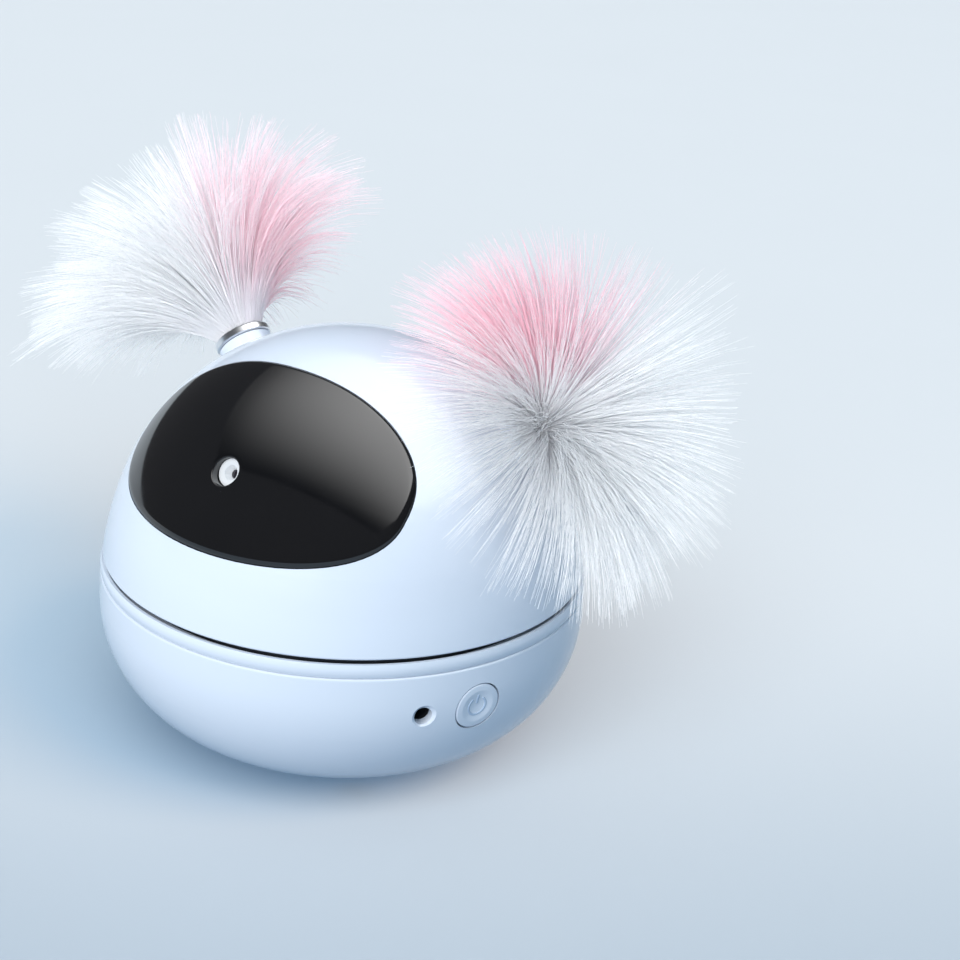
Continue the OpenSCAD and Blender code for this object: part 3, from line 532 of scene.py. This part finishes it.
def visor_edge(turn):
    power = visor_full_above if math.sin(turn) > 0 else visor_full_below
    return Vector((
        visor_half_w * full(math.cos(turn), power),
        visor_half_h * full(math.sin(turn), power) + visor_shift,
    ))


def visor_outline(turn, inset):
    """The visor's edge, an ellipse with a fuller upper half, taken in by inset."""
    ahead = (visor_edge(turn + outline_probe) - visor_edge(turn - outline_probe)).normalized()
    return visor_edge(turn) - inset * Vector((ahead.y, -ahead.x))


def eye_outline(turn, r, grow):
    """Where the eye's hole, widened by grow, meets a sphere of radius r, in the visor's frame."""
    side, up, out = aimed(eye_tilt)
    start = dome_centre + visor_out_r * Vector((0, -math.cos(eye_elev), math.sin(eye_elev)))
    start += (eye_hole_r + grow) * (math.cos(turn) * side + math.sin(turn) * up) - dome_centre
    along = -start.dot(out) + math.sqrt(start.dot(out) ** 2 - start.dot(start) + r * r)
    met = start + along * out + dome_centre - visor_middle
    return met.dot(visor_x), met.dot(visor_y)


def rounding(share, w, h):
    """Inset and drop of a quarter round, from the wall at 0 to the face at 1."""
    return w * (1 - math.cos(share * math.pi / 2)), h * (1 - math.sin(share * math.pi / 2))


def visor_ring(place, r, drop):
    """A ring of points on the visor, at the places that a function gives for each turn."""
    ring = []
    for i in range(visor_steps):
        x, y = place(2 * math.pi * i / visor_steps)
        z = on_ball(x, y, r) - drop
        ring.append(visor_middle + x * visor_x + y * visor_y + z * visor_z)
    return ring


def visor_between(share, r):
    """Places part of the way from the eye's hole to the visor's edge."""
    def place(turn):
        hole = Vector(eye_outline(turn, r, eye_rim_w))
        edge = Vector(visor_outline(turn, visor_rim_w))
        return hole.lerp(edge, share)
    return place


def band_faces(low, high, steps):
    """Quads between two rings whose points start at low and at high."""
    return [(low + i, high + i, high + (i + 1) % steps, low + (i + 1) % steps) for i in range(steps)]


visor_rings = [visor_ring(lambda a: eye_outline(a, visor_in_r, 0), visor_in_r, 0)]
for step in range(round_steps):
    grow, drop = rounding(step / round_steps, eye_rim_w, eye_rim_h)
    visor_rings.append(visor_ring(lambda a: eye_outline(a, visor_out_r, grow), visor_out_r, drop))
for step in range(visor_face_rings + 1):
    visor_rings.append(visor_ring(visor_between(step / visor_face_rings, visor_out_r), visor_out_r, 0))
for step in range(round_steps - 1, -1, -1):
    inset, drop = rounding(step / round_steps, visor_rim_w, visor_rim_h)
    visor_rings.append(visor_ring(lambda a: visor_outline(a, inset), visor_out_r, drop))
visor_rings.append(visor_ring(lambda a: visor_outline(a, 0), visor_in_r, 0))
for step in range(visor_back_rings, -1, -1):
    visor_rings.append(visor_ring(visor_between(step / visor_back_rings, visor_in_r), visor_in_r, 0))
visor_points = [p for ring in visor_rings for p in ring]
visor_faces = []
for j in range(len(visor_rings)):
    visor_faces += band_faces(j * visor_steps, (j + 1) % len(visor_rings) * visor_steps, visor_steps)
visor_piece = mesh_piece("visor_lens", visor_points, visor_faces, visor_sharp_turn)

visor_gloss, visor_shader = start_finish("black_acrylic")
tone_by(visor_gloss, visor_shader, clouds(visor_gloss, visor_patch_mm), visor_colour, visor_deeper)
polish_by(visor_gloss, visor_shader, clouds(visor_gloss, visor_rough_mm), *visor_rough)
set_sockets(visor_shader, {"IOR": visor_ior})
visor_piece.data.materials.append(visor_gloss)
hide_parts("visor")
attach(visor_piece, "head")

# Eye: a bright bezel set deep in the visor's hole, round a small dark glass lens. A faint glow on the
# bezel is painted light, which keeps it bright down in the hole's shade.
bezel_colour = (0.95, 0.955, 0.96)
bezel_deeper = (0.90, 0.905, 0.915)
bezel_film_mm = 0.8
bezel_rough = (0.28, 0.36)
bezel_metal = 0.2
bezel_painted_light = (1, 1, 1, 1)
bezel_painted_glow = 0.06
glass_colour = (0.010, 0.010, 0.014)
glass_deeper = (0.020, 0.016, 0.022)
glass_patch_mm = 1.5
glass_rough = 0.04

bezel_satin, bezel_shader = start_finish("satin_bezel")
bezel_film = clouds(bezel_satin, bezel_film_mm)
tone_by(bezel_satin, bezel_shader, bezel_film, bezel_colour, bezel_deeper)
polish_by(bezel_satin, bezel_shader, bezel_film, *bezel_rough)
set_sockets(bezel_shader, {"Metallic": bezel_metal})
# Painted light: the bezel glows a little, though it is no lamp.
set_sockets(bezel_shader, {"Emission Color": bezel_painted_light, "Emission Strength": bezel_painted_glow})
dress_nodes(bezel_satin, "eye_bezel")

lens_glass, lens_shader = start_finish("dark_glass")
tone_by(lens_glass, lens_shader, clouds(lens_glass, glass_patch_mm), glass_colour, glass_deeper)
set_sockets(lens_shader, {"Roughness": glass_rough, "Coat Weight": 1.0})
dress_nodes(lens_glass, "eye_lens")

# Power button: a moulded cap that fills a round hole in the bowl and follows its curve, held by
# a flange behind the wall. The wide dish in its face carries a raised mark, a broken ring and a bar.
button_turn = math.radians(69.4)
button_z = 0.0285
button_r = 0.005
button_edge = 0.0003
button_steps = 96
button_face_rings = 40
button_sharp_turn = 40
flange_r = 0.0057
flange_front = 0.047825
flange_back = 0.046825
dish_r = 0.0037
dish_h = 0.0007
dish_soft = 1.3
body_r = 0.052
equator_z = 0.032
bowl_side_r = 0.0285
dome_side_r = 0.072
mark_r = 0.0020
mark_w = 0.00052
mark_h = 0.00014
mark_sink = 0.00005
mark_crown = 1.08
mark_shoulders = [(0.92, 0.6), (0.6, 1.0)]
mark_gap = math.radians(62)
mark_ring_steps = 56
mark_bar_low = 0.0005
mark_bar_high = 0.0027
mark_bar_steps = 24
mark_end_power = 24
mark_end_least = 0.02
mark_sharp_turn = 60
mark_colour = (0.56, 0.66, 0.79)
mark_deeper = (0.52, 0.62, 0.76)
mark_patch_mm = 2
mark_rough = 0.25

button_out = Vector((math.sin(button_turn), -math.cos(button_turn), 0))
button_side = Vector((math.cos(button_turn), math.sin(button_turn), 0))
button_up = Vector((0, 0, 1))
button_middle = Vector((0, 0, button_z))


def flank_radius(z):
    """Radius of the toy's flank at a height near its widest line."""
    curve = bowl_side_r if z < equator_z else dome_side_r
    return body_r - curve + math.sqrt(curve ** 2 - (z - equator_z) ** 2)


def on_dish(x, y, rise):
    """A point on the button's face, x along the bowl and y up from its middle, raised by rise."""
    face = math.sqrt(flank_radius(button_z + y) ** 2 - x * x)
    drop = dish_h * max(0, 1 - (x * x + y * y) / dish_r ** 2) ** dish_soft
    return button_middle + x * button_side + y * button_up + (face - drop + rise) * button_out


def button_round(r):
    turns = [2 * math.pi * i / button_steps for i in range(button_steps)]
    return [(r * math.cos(a), r * math.sin(a)) for a in turns]


def button_ring(r, drop):
    return [on_dish(x, y, -drop) for x, y in button_round(r)]


def flange_ring(r, depth):
    middle = button_middle + depth * button_out
    return [middle + x * button_side + y * button_up for x, y in button_round(r)]


button_rings = []
for step in range(button_face_rings):
    share = (step + 0.5) / (button_face_rings - 0.5)
    button_rings.append(button_ring((button_r - button_edge) * share, 0))
for step in range(round_steps - 1, -1, -1):
    inset, drop = rounding(step / round_steps, button_edge, button_edge)
    button_rings.append(button_ring(button_r - inset, drop))
button_rings.append(flange_ring(button_r, flange_front))
button_rings.append(flange_ring(flange_r, flange_front))
button_rings.append(flange_ring(flange_r, flange_back))
button_points = [p for ring in button_rings for p in ring]
button_last = (len(button_rings) - 1) * button_steps
button_faces = []
for low in range(0, button_last, button_steps):
    button_faces += band_faces(low, low + button_steps, button_steps)
button_faces.append(tuple(range(button_steps)))
button_faces.append(tuple(range(button_last + button_steps - 1, button_last - 1, -1)))
button_piece = mesh_piece("button_cap", button_points, button_faces, button_sharp_turn)
button_piece.data.materials.append(shell_gloss)
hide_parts("power_button")
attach(button_piece, "button")


def mark_stroke(path):
    """A low rounded ridge along a path on the dish, tapered shut at both ends."""
    half = [(-1, -mark_sink)] + [(-s, h * mark_h) for s, h in mark_shoulders]
    section = half + [(0, mark_crown * mark_h)] + [(-s, h) for s, h in reversed(half)]
    wide = len(section)
    last = len(path) - 1
    points = []
    faces = []
    for k, (x, y) in enumerate(path):
        ahead = Vector(path[min(k + 1, last)]) - Vector(path[max(k - 1, 0)])
        across = Vector((-ahead.y, ahead.x)).normalized() * mark_w / 2
        closing = math.sqrt(max(mark_end_least, 1 - abs(2 * k / last - 1) ** mark_end_power))
        for s, rise in section:
            points.append(on_dish(x + s * across.x * closing, y + s * across.y * closing, rise * closing))
    for k in range(last):
        faces += band_faces((k + 1) * wide, k * wide, wide)
    faces.append(tuple(range(wide - 1, -1, -1)))
    faces.append(tuple(range(last * wide, len(path) * wide)))
    return points, faces


ring_span = 2 * math.pi - mark_gap
ring_turns = [mark_gap / 2 + ring_span * k / (mark_ring_steps - 1) for k in range(mark_ring_steps)]
ring_path = [(mark_r * math.sin(a), mark_r * math.cos(a)) for a in ring_turns]
bar_rise = (mark_bar_high - mark_bar_low) / (mark_bar_steps - 1)
bar_path = [(0, mark_bar_low + bar_rise * k) for k in range(mark_bar_steps)]
mark_points, mark_faces = mark_stroke(ring_path)
bar_points, bar_faces = mark_stroke(bar_path)
mark_faces += [tuple(i + len(mark_points) for i in face) for face in bar_faces]
mark_points += bar_points
mark = mesh_piece("power_mark", mark_points, mark_faces, mark_sharp_turn)
mark_finish, mark_shader = start_finish("mark_gloss")
tone_by(mark_finish, mark_shader, clouds(mark_finish, mark_patch_mm), mark_colour, mark_deeper)
set_sockets(mark_shader, {"Roughness": mark_rough})
mark.data.materials.append(mark_finish)
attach(mark, "button")

# Ferrules: each tuft's plug is a plated stem that widens to a shallow cup, crimped round the roots
# of the fibres. It is bright, with a faint uneven film from handling.
chrome_colour = (0.86, 0.88, 0.90)
chrome_deeper = (0.80, 0.82, 0.85)
chrome_film_mm = 3
chrome_rough = (0.28, 0.36)

chrome, chrome_shader = start_finish("bright_chrome")
chrome_film = clouds(chrome, chrome_film_mm)
tone_by(chrome, chrome_shader, chrome_film, chrome_colour, chrome_deeper)
polish_by(chrome, chrome_shader, chrome_film, *chrome_rough)
set_sockets(chrome_shader, {"Metallic": 1.0})
dress_nodes(chrome, "ferrule_left", "ferrule_right")

# Tufts: each is a brush of some thousands of fine nylon fibres in a crimped ferrule, white
# with one side dyed pink. They fan out, gather into locks and sag a little at the ends.
tuft_root = 0.00553
tuft_field_r = 0.0046
fibre_count = 4600
fibre_locks = 130
fibre_steps = 7
fibre_corners = 3
fibre_sharp_turn = 180
fibre_root_r = 0.000085
fibre_tip_r = 0.000022
fibre_clear = 0.0009
fibre_tilt = 0.09
fibre_twist = 0.1
lock_start = 0.4
lock_scatter = 0.03
lock_shortest = 0.84
lock_twist = 0.14
loose_share = 0.25
loose_pull = 0.2
gather_bend = 1.3
flank_joint_z = 0.0495
golden_turn = math.radians(137.508)
dye_ragged = math.radians(10)
dye_fade = math.radians(25)
dye_core = 0.1
dye_core_fade = 0.25
fibre_white = (0.955, 0.96, 0.965)
fibre_pink = (0.98, 0.64, 0.72)
# Colour of the painted shade at the fibres' roots.
fibre_painted_shade = (0.76, 0.75, 0.81)
fibre_rough = 0.45
fibre_translucent = 0.55
map_margin = 0.01
map_side = 0.004
map_edge = 0.002

# In each tuft, pink is the way that its dyed side faces and width half the dyed arc, in degrees.
# The outer fibres leave the ferrule at lean degrees and end at spread degrees from the axis.
# The sides in tight keep closer to the axis and those in short are shorter, by the given shares.
# Each fibre's pull into its lock, and the dye that it took, are shares between the two given.
tuft_sides = {
    "left": {
        "pink": (0.62, 0.63, 0.47), "width": 80, "lean": 54, "spread": 90, "sag": 0.48, "crowd": 0.5,
        "tight": [((0.62, 0.63, 0.47), 0.55), ((-0.3, -0.2, -1.0), 0.40)], "short": [],
        "length": 0.0505, "ragged": 0.32, "pull": (0.25, 0.80), "dye": (0.30, 0.72), "seed": 11,
    },
    "right": {
        "pink": (-0.70, 0.05, 0.71), "width": 60, "lean": 80, "spread": 128, "sag": 0.14, "crowd": 0.40,
        "tight": [], "short": [((-0.84, -0.54, 0.0), 0.24), ((0.5, -0.1, -0.85), 0.18)],
        "length": 0.0505, "ragged": 0.40, "pull": (0.10, 0.55), "dye": (0.60, 1.0), "seed": 23,
    },
}
tuft_centre = np.array(dome_centre)


def tuft_axes(name):
    joint = "tuft_" + name + "_pull"
    axis = next(j["axis"] for j in frame["joints"] if j["name"] == joint)
    out = Vector(axis).normalized()
    side = Vector((0, 0, 1)).cross(out).normalized()
    return np.array(side), np.array(out.cross(side)), np.array(out)


def bearing_of(name, toward):
    """Angle round a tuft's axis of a direction in the toy's frame."""
    side, up, out = tuft_axes(name)
    return math.atan2(np.dot(toward, up), np.dot(toward, side))


def left_by(name, bearing, sides):
    """Share of a value that each fibre keeps after the named sides have taken theirs."""
    kept = np.ones(len(bearing))
    for toward, share in sides:
        kept *= 1 - share * np.maximum(np.cos(bearing - bearing_of(name, toward)), 0)
    return kept


def sunflower(count, start, crowd):
    """Spots spread over a disc of radius 1, evenly at a crowd of 0.5 and outwards below it."""
    share = ((np.arange(count) + 0.5) / count) ** crowd
    turn = np.arange(count) * golden_turn + start
    return np.stack([share * np.cos(turn), share * np.sin(turn)], 1)


def fibre_paths(name, spot, length, tilt, twist):
    """Points of fibres that leave the ferrule at given spots, as fibre, step and coordinate."""
    side, up, out = tuft_axes(name)
    tuft = tuft_sides[name]
    spread = math.radians(tuft["spread"])
    reach = np.linalg.norm(spot, axis=1)
    bearing = np.arctan2(spot[:, 1], spot[:, 0])
    lean = math.radians(tuft["lean"]) * left_by(name, bearing, tuft["tight"])
    stride = length * left_by(name, bearing, tuft["short"]) / fibre_steps
    place = tuft_centre + (dome_r + tuft_root) * out
    place = place + tuft_field_r * (spot[:, :1] * side + spot[:, 1:] * up)
    points = [place]
    for step in range(fibre_steps):
        s = (step + 0.5) / fibre_steps
        angle = reach * (lean + (spread - lean) * s) + tilt * s
        turned = bearing + twist * s
        across = np.cos(turned)[:, None] * side + np.sin(turned)[:, None] * up
        way = np.sin(angle)[:, None] * across + np.cos(angle)[:, None] * out
        way[:, 2] -= tuft["sag"] * s * s
        way /= np.linalg.norm(way, axis=1)[:, None]
        place = place + way * stride[:, None]
        points.append(place)
    return np.stack(points, 1)


def off_body(points):
    """Points moved out of the toy's body: off the dome's ball above, off its flank below."""
    from_centre = points - tuft_centre
    far = np.linalg.norm(from_centre, axis=-1)
    off_ball = tuft_centre + from_centre * np.maximum((dome_r + fibre_clear) / far, 1)[..., None]
    flat = np.linalg.norm(points[..., :2], axis=-1)
    rise = np.clip(points[..., 2] - equator_z, -dome_side_r / 2, dome_side_r / 2)
    need = body_r - dome_side_r + np.sqrt(dome_side_r ** 2 - rise ** 2) + fibre_clear
    off_flank = points.copy()
    off_flank[..., :2] *= np.maximum(need / flat, 1)[..., None]
    return np.where(points[..., 2:] > flank_joint_z, off_ball, off_flank)


def grow_fibres(name, chance):
    """Every fibre's own path, drawn part of the way to the path of the lock it belongs to."""
    tuft = tuft_sides[name]
    spot = sunflower(fibre_count, 0, tuft["crowd"])
    lock_spot = sunflower(fibre_locks, lock_start, tuft["crowd"])
    lock_spot = lock_spot + chance.normal(0, lock_scatter, (fibre_locks, 2))
    lock = np.argmin(((spot[:, None] - lock_spot[None]) ** 2).sum(2), 1)
    lock_length = tuft["length"] * chance.uniform(lock_shortest, 1.0, fibre_locks)
    lock_tilts = chance.normal(0, fibre_tilt, fibre_locks)
    lock_twists = chance.normal(0, lock_twist, fibre_locks)
    guides = fibre_paths(name, lock_spot, lock_length, lock_tilts, lock_twists)
    length = lock_length[lock] * (1 - tuft["ragged"] * chance.random(fibre_count) ** 2)
    tilts = chance.normal(0, fibre_tilt, fibre_count)
    twists = chance.normal(0, fibre_twist, fibre_count)
    own = fibre_paths(name, spot, length, tilts, twists)
    loose = chance.random(fibre_count) < loose_share
    loose_pulls = chance.uniform(0, loose_pull, fibre_count)
    pull = np.where(loose, loose_pulls, chance.uniform(*tuft["pull"], fibre_count))
    gather = pull[:, None] * np.linspace(0, 1, fibre_steps + 1)[None] ** gather_bend
    points = own * (1 - gather)[..., None] + guides[lock] * gather[..., None]
    return off_body(points), spot


def dye_of(name, spot, chance):
    """How much dye each fibre took, from 0 to 1, by its place round the tuft's axis."""
    tuft = tuft_sides[name]
    from_pink = np.arctan2(spot[:, 1], spot[:, 0]) - bearing_of(name, tuft["pink"])
    apart = np.abs(np.angle(np.exp(1j * from_pink)))
    edge = chance.normal(math.radians(tuft["width"]), dye_ragged, fibre_count)
    reach = np.linalg.norm(spot, axis=1)
    amount = np.clip((edge - apart) / dye_fade, 0, 1) * np.clip((reach - dye_core) / dye_core_fade, 0, 1)
    return amount * chance.uniform(*tuft["dye"], fibre_count)


fibre_finish, fibre_shader = start_finish("dyed_nylon")
fibre_map = add_node(fibre_finish, "ShaderNodeUVMap", uv_map="OFBake")
fibre_split = add_node(fibre_finish, "ShaderNodeSeparateXYZ")
join_sockets(fibre_finish, fibre_map.outputs["UV"], fibre_split.inputs["Vector"])
along, dye = fibre_split.outputs["X"], fibre_split.outputs["Y"]


def fibre_product(one, other):
    product = add_node(fibre_finish, "ShaderNodeMath", operation="MULTIPLY")
    join_sockets(fibre_finish, one, product.inputs[0])
    join_sockets(fibre_finish, other, product.inputs[1])
    return product.outputs[0]


dye_rise = ramp(fibre_finish, along, start=0.05, end=0.4, low=0.2, high=1.0)
dye_fall = ramp(fibre_finish, along, start=0.70, end=1.0, low=1.0, high=0.75)
dye_here = fibre_product(fibre_product(dye_rise, dye_fall), dye)
dyed = blend_colours(fibre_finish, dye_here, fibre_white, fibre_pink)
# Painted shade: each fibre darkens towards its root, more so on the dyed side.
shade_root = ramp(fibre_finish, along, start=0.0, end=0.55, low=0.65, high=0.0)
shade_dye = ramp(fibre_finish, dye, start=0.0, end=0.8, low=0.4, high=1.0)
shaded = blend_colours(fibre_finish, fibre_product(shade_root, shade_dye), dyed, fibre_painted_shade)
join_sockets(fibre_finish, shaded, fibre_shader.inputs["Base Color"])
set_sockets(fibre_shader, {"Roughness": fibre_rough})
fibre_glow = add_node(fibre_finish, "ShaderNodeBsdfTranslucent")
fibre_mix = add_node(fibre_finish, "ShaderNodeMixShader")
fibre_out = fibre_finish.node_tree.nodes["Material Output"]
set_sockets(fibre_mix, {"Fac": fibre_translucent})
join_sockets(fibre_finish, shaded, fibre_glow.inputs["Color"])
join_sockets(fibre_finish, fibre_shader.outputs[0], fibre_mix.inputs[1])
join_sockets(fibre_finish, fibre_glow.outputs[0], fibre_mix.inputs[2])
join_sockets(fibre_finish, fibre_mix.outputs[0], fibre_out.inputs["Surface"])


def fibre_mesh(name, points, dye_amount, chance):
    """Three-sided tapering tubes along the fibres, with a map of length and dye."""
    count, rings = points.shape[:2]
    ahead = np.gradient(points, axis=1)
    ahead /= np.linalg.norm(ahead, axis=2)[..., None]
    across = np.cross(ahead, chance.normal(0, 1, (count, 1, 3)))
    across /= np.linalg.norm(across, axis=2)[..., None]
    third = np.cross(ahead, across)
    radius = fibre_root_r + (fibre_tip_r - fibre_root_r) * np.linspace(0, 1, rings)
    corners = []
    for corner in range(fibre_corners):
        a = corner * 2 * math.pi / fibre_corners
        corners.append(points + radius[None, :, None] * (math.cos(a) * across + math.sin(a) * third))
    verts = np.stack(corners, 2).reshape(-1, 3)
    ring_start = np.arange(count)[:, None, None] * rings + np.arange(rings - 1)[None, :, None]
    first = ring_start * fibre_corners
    j = np.arange(fibre_corners)[None, None, :]
    n = (j + 1) % fibre_corners
    quads = np.stack([first + j, first + n, first + fibre_corners + n, first + fibre_corners + j], 3)
    piece = mesh_piece(name, verts.tolist(), quads.reshape(-1, 4).tolist(), fibre_sharp_turn)
    length_map = np.repeat(np.tile(np.linspace(map_margin, 1 - map_margin, rings), count), fibre_corners)
    dye_map = np.repeat(dye_amount, rings * fibre_corners)
    side_map = np.tile(np.linspace(-map_side, map_side, fibre_corners), count * rings)
    layer = piece.data.uv_layers.new(name="OFBake")
    corner_of = np.empty(len(piece.data.loops), np.int32)
    piece.data.loops.foreach_get("vertex_index", corner_of)
    spots = np.stack([length_map, np.clip(dye_map + side_map, map_edge, 1 - map_edge)], 1)[corner_of]
    layer.data.foreach_set("uv", spots.astype(np.float32).ravel())
    piece.data.materials.append(fibre_finish)
    return piece


brushes = bpy.data.collections.new("brushes")
left_brush = bpy.data.collections.new("left_brush")
for name, tuft in tuft_sides.items():
    chance = np.random.default_rng(tuft["seed"])
    fibres, spot = grow_fibres(name, chance)
    dye_amount = dye_of(name, spot, chance)
    brush = fibre_mesh("fibres_" + name, fibres, dye_amount, chance)
    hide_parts("strands_" + name)
    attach(brush, "tuft_" + name)
    brush.visible_glossy = False
    brushes.objects.link(brush)
    if name == "left":
        left_brush.objects.link(brush)

# Tuft light: a soft lamp in front for the fibres alone, and one behind on the right for the left
# tuft. They lift the fine fibres out of their own shade.
tuft_lamp_power = 10.6
tuft_lamp_size = 0.4
tuft_lamp_place = Vector((0.32, -0.72, 0.16))
tuft_rim_power = 3.8
tuft_rim_place = Vector((0.60, 0.22, 0.42))

soft_lamp("tuft_lamp", tuft_lamp_power, tuft_lamp_size, tuft_lamp_place, brushes)
soft_lamp("tuft_rim", tuft_rim_power, tuft_lamp_size, tuft_rim_place, left_brush)
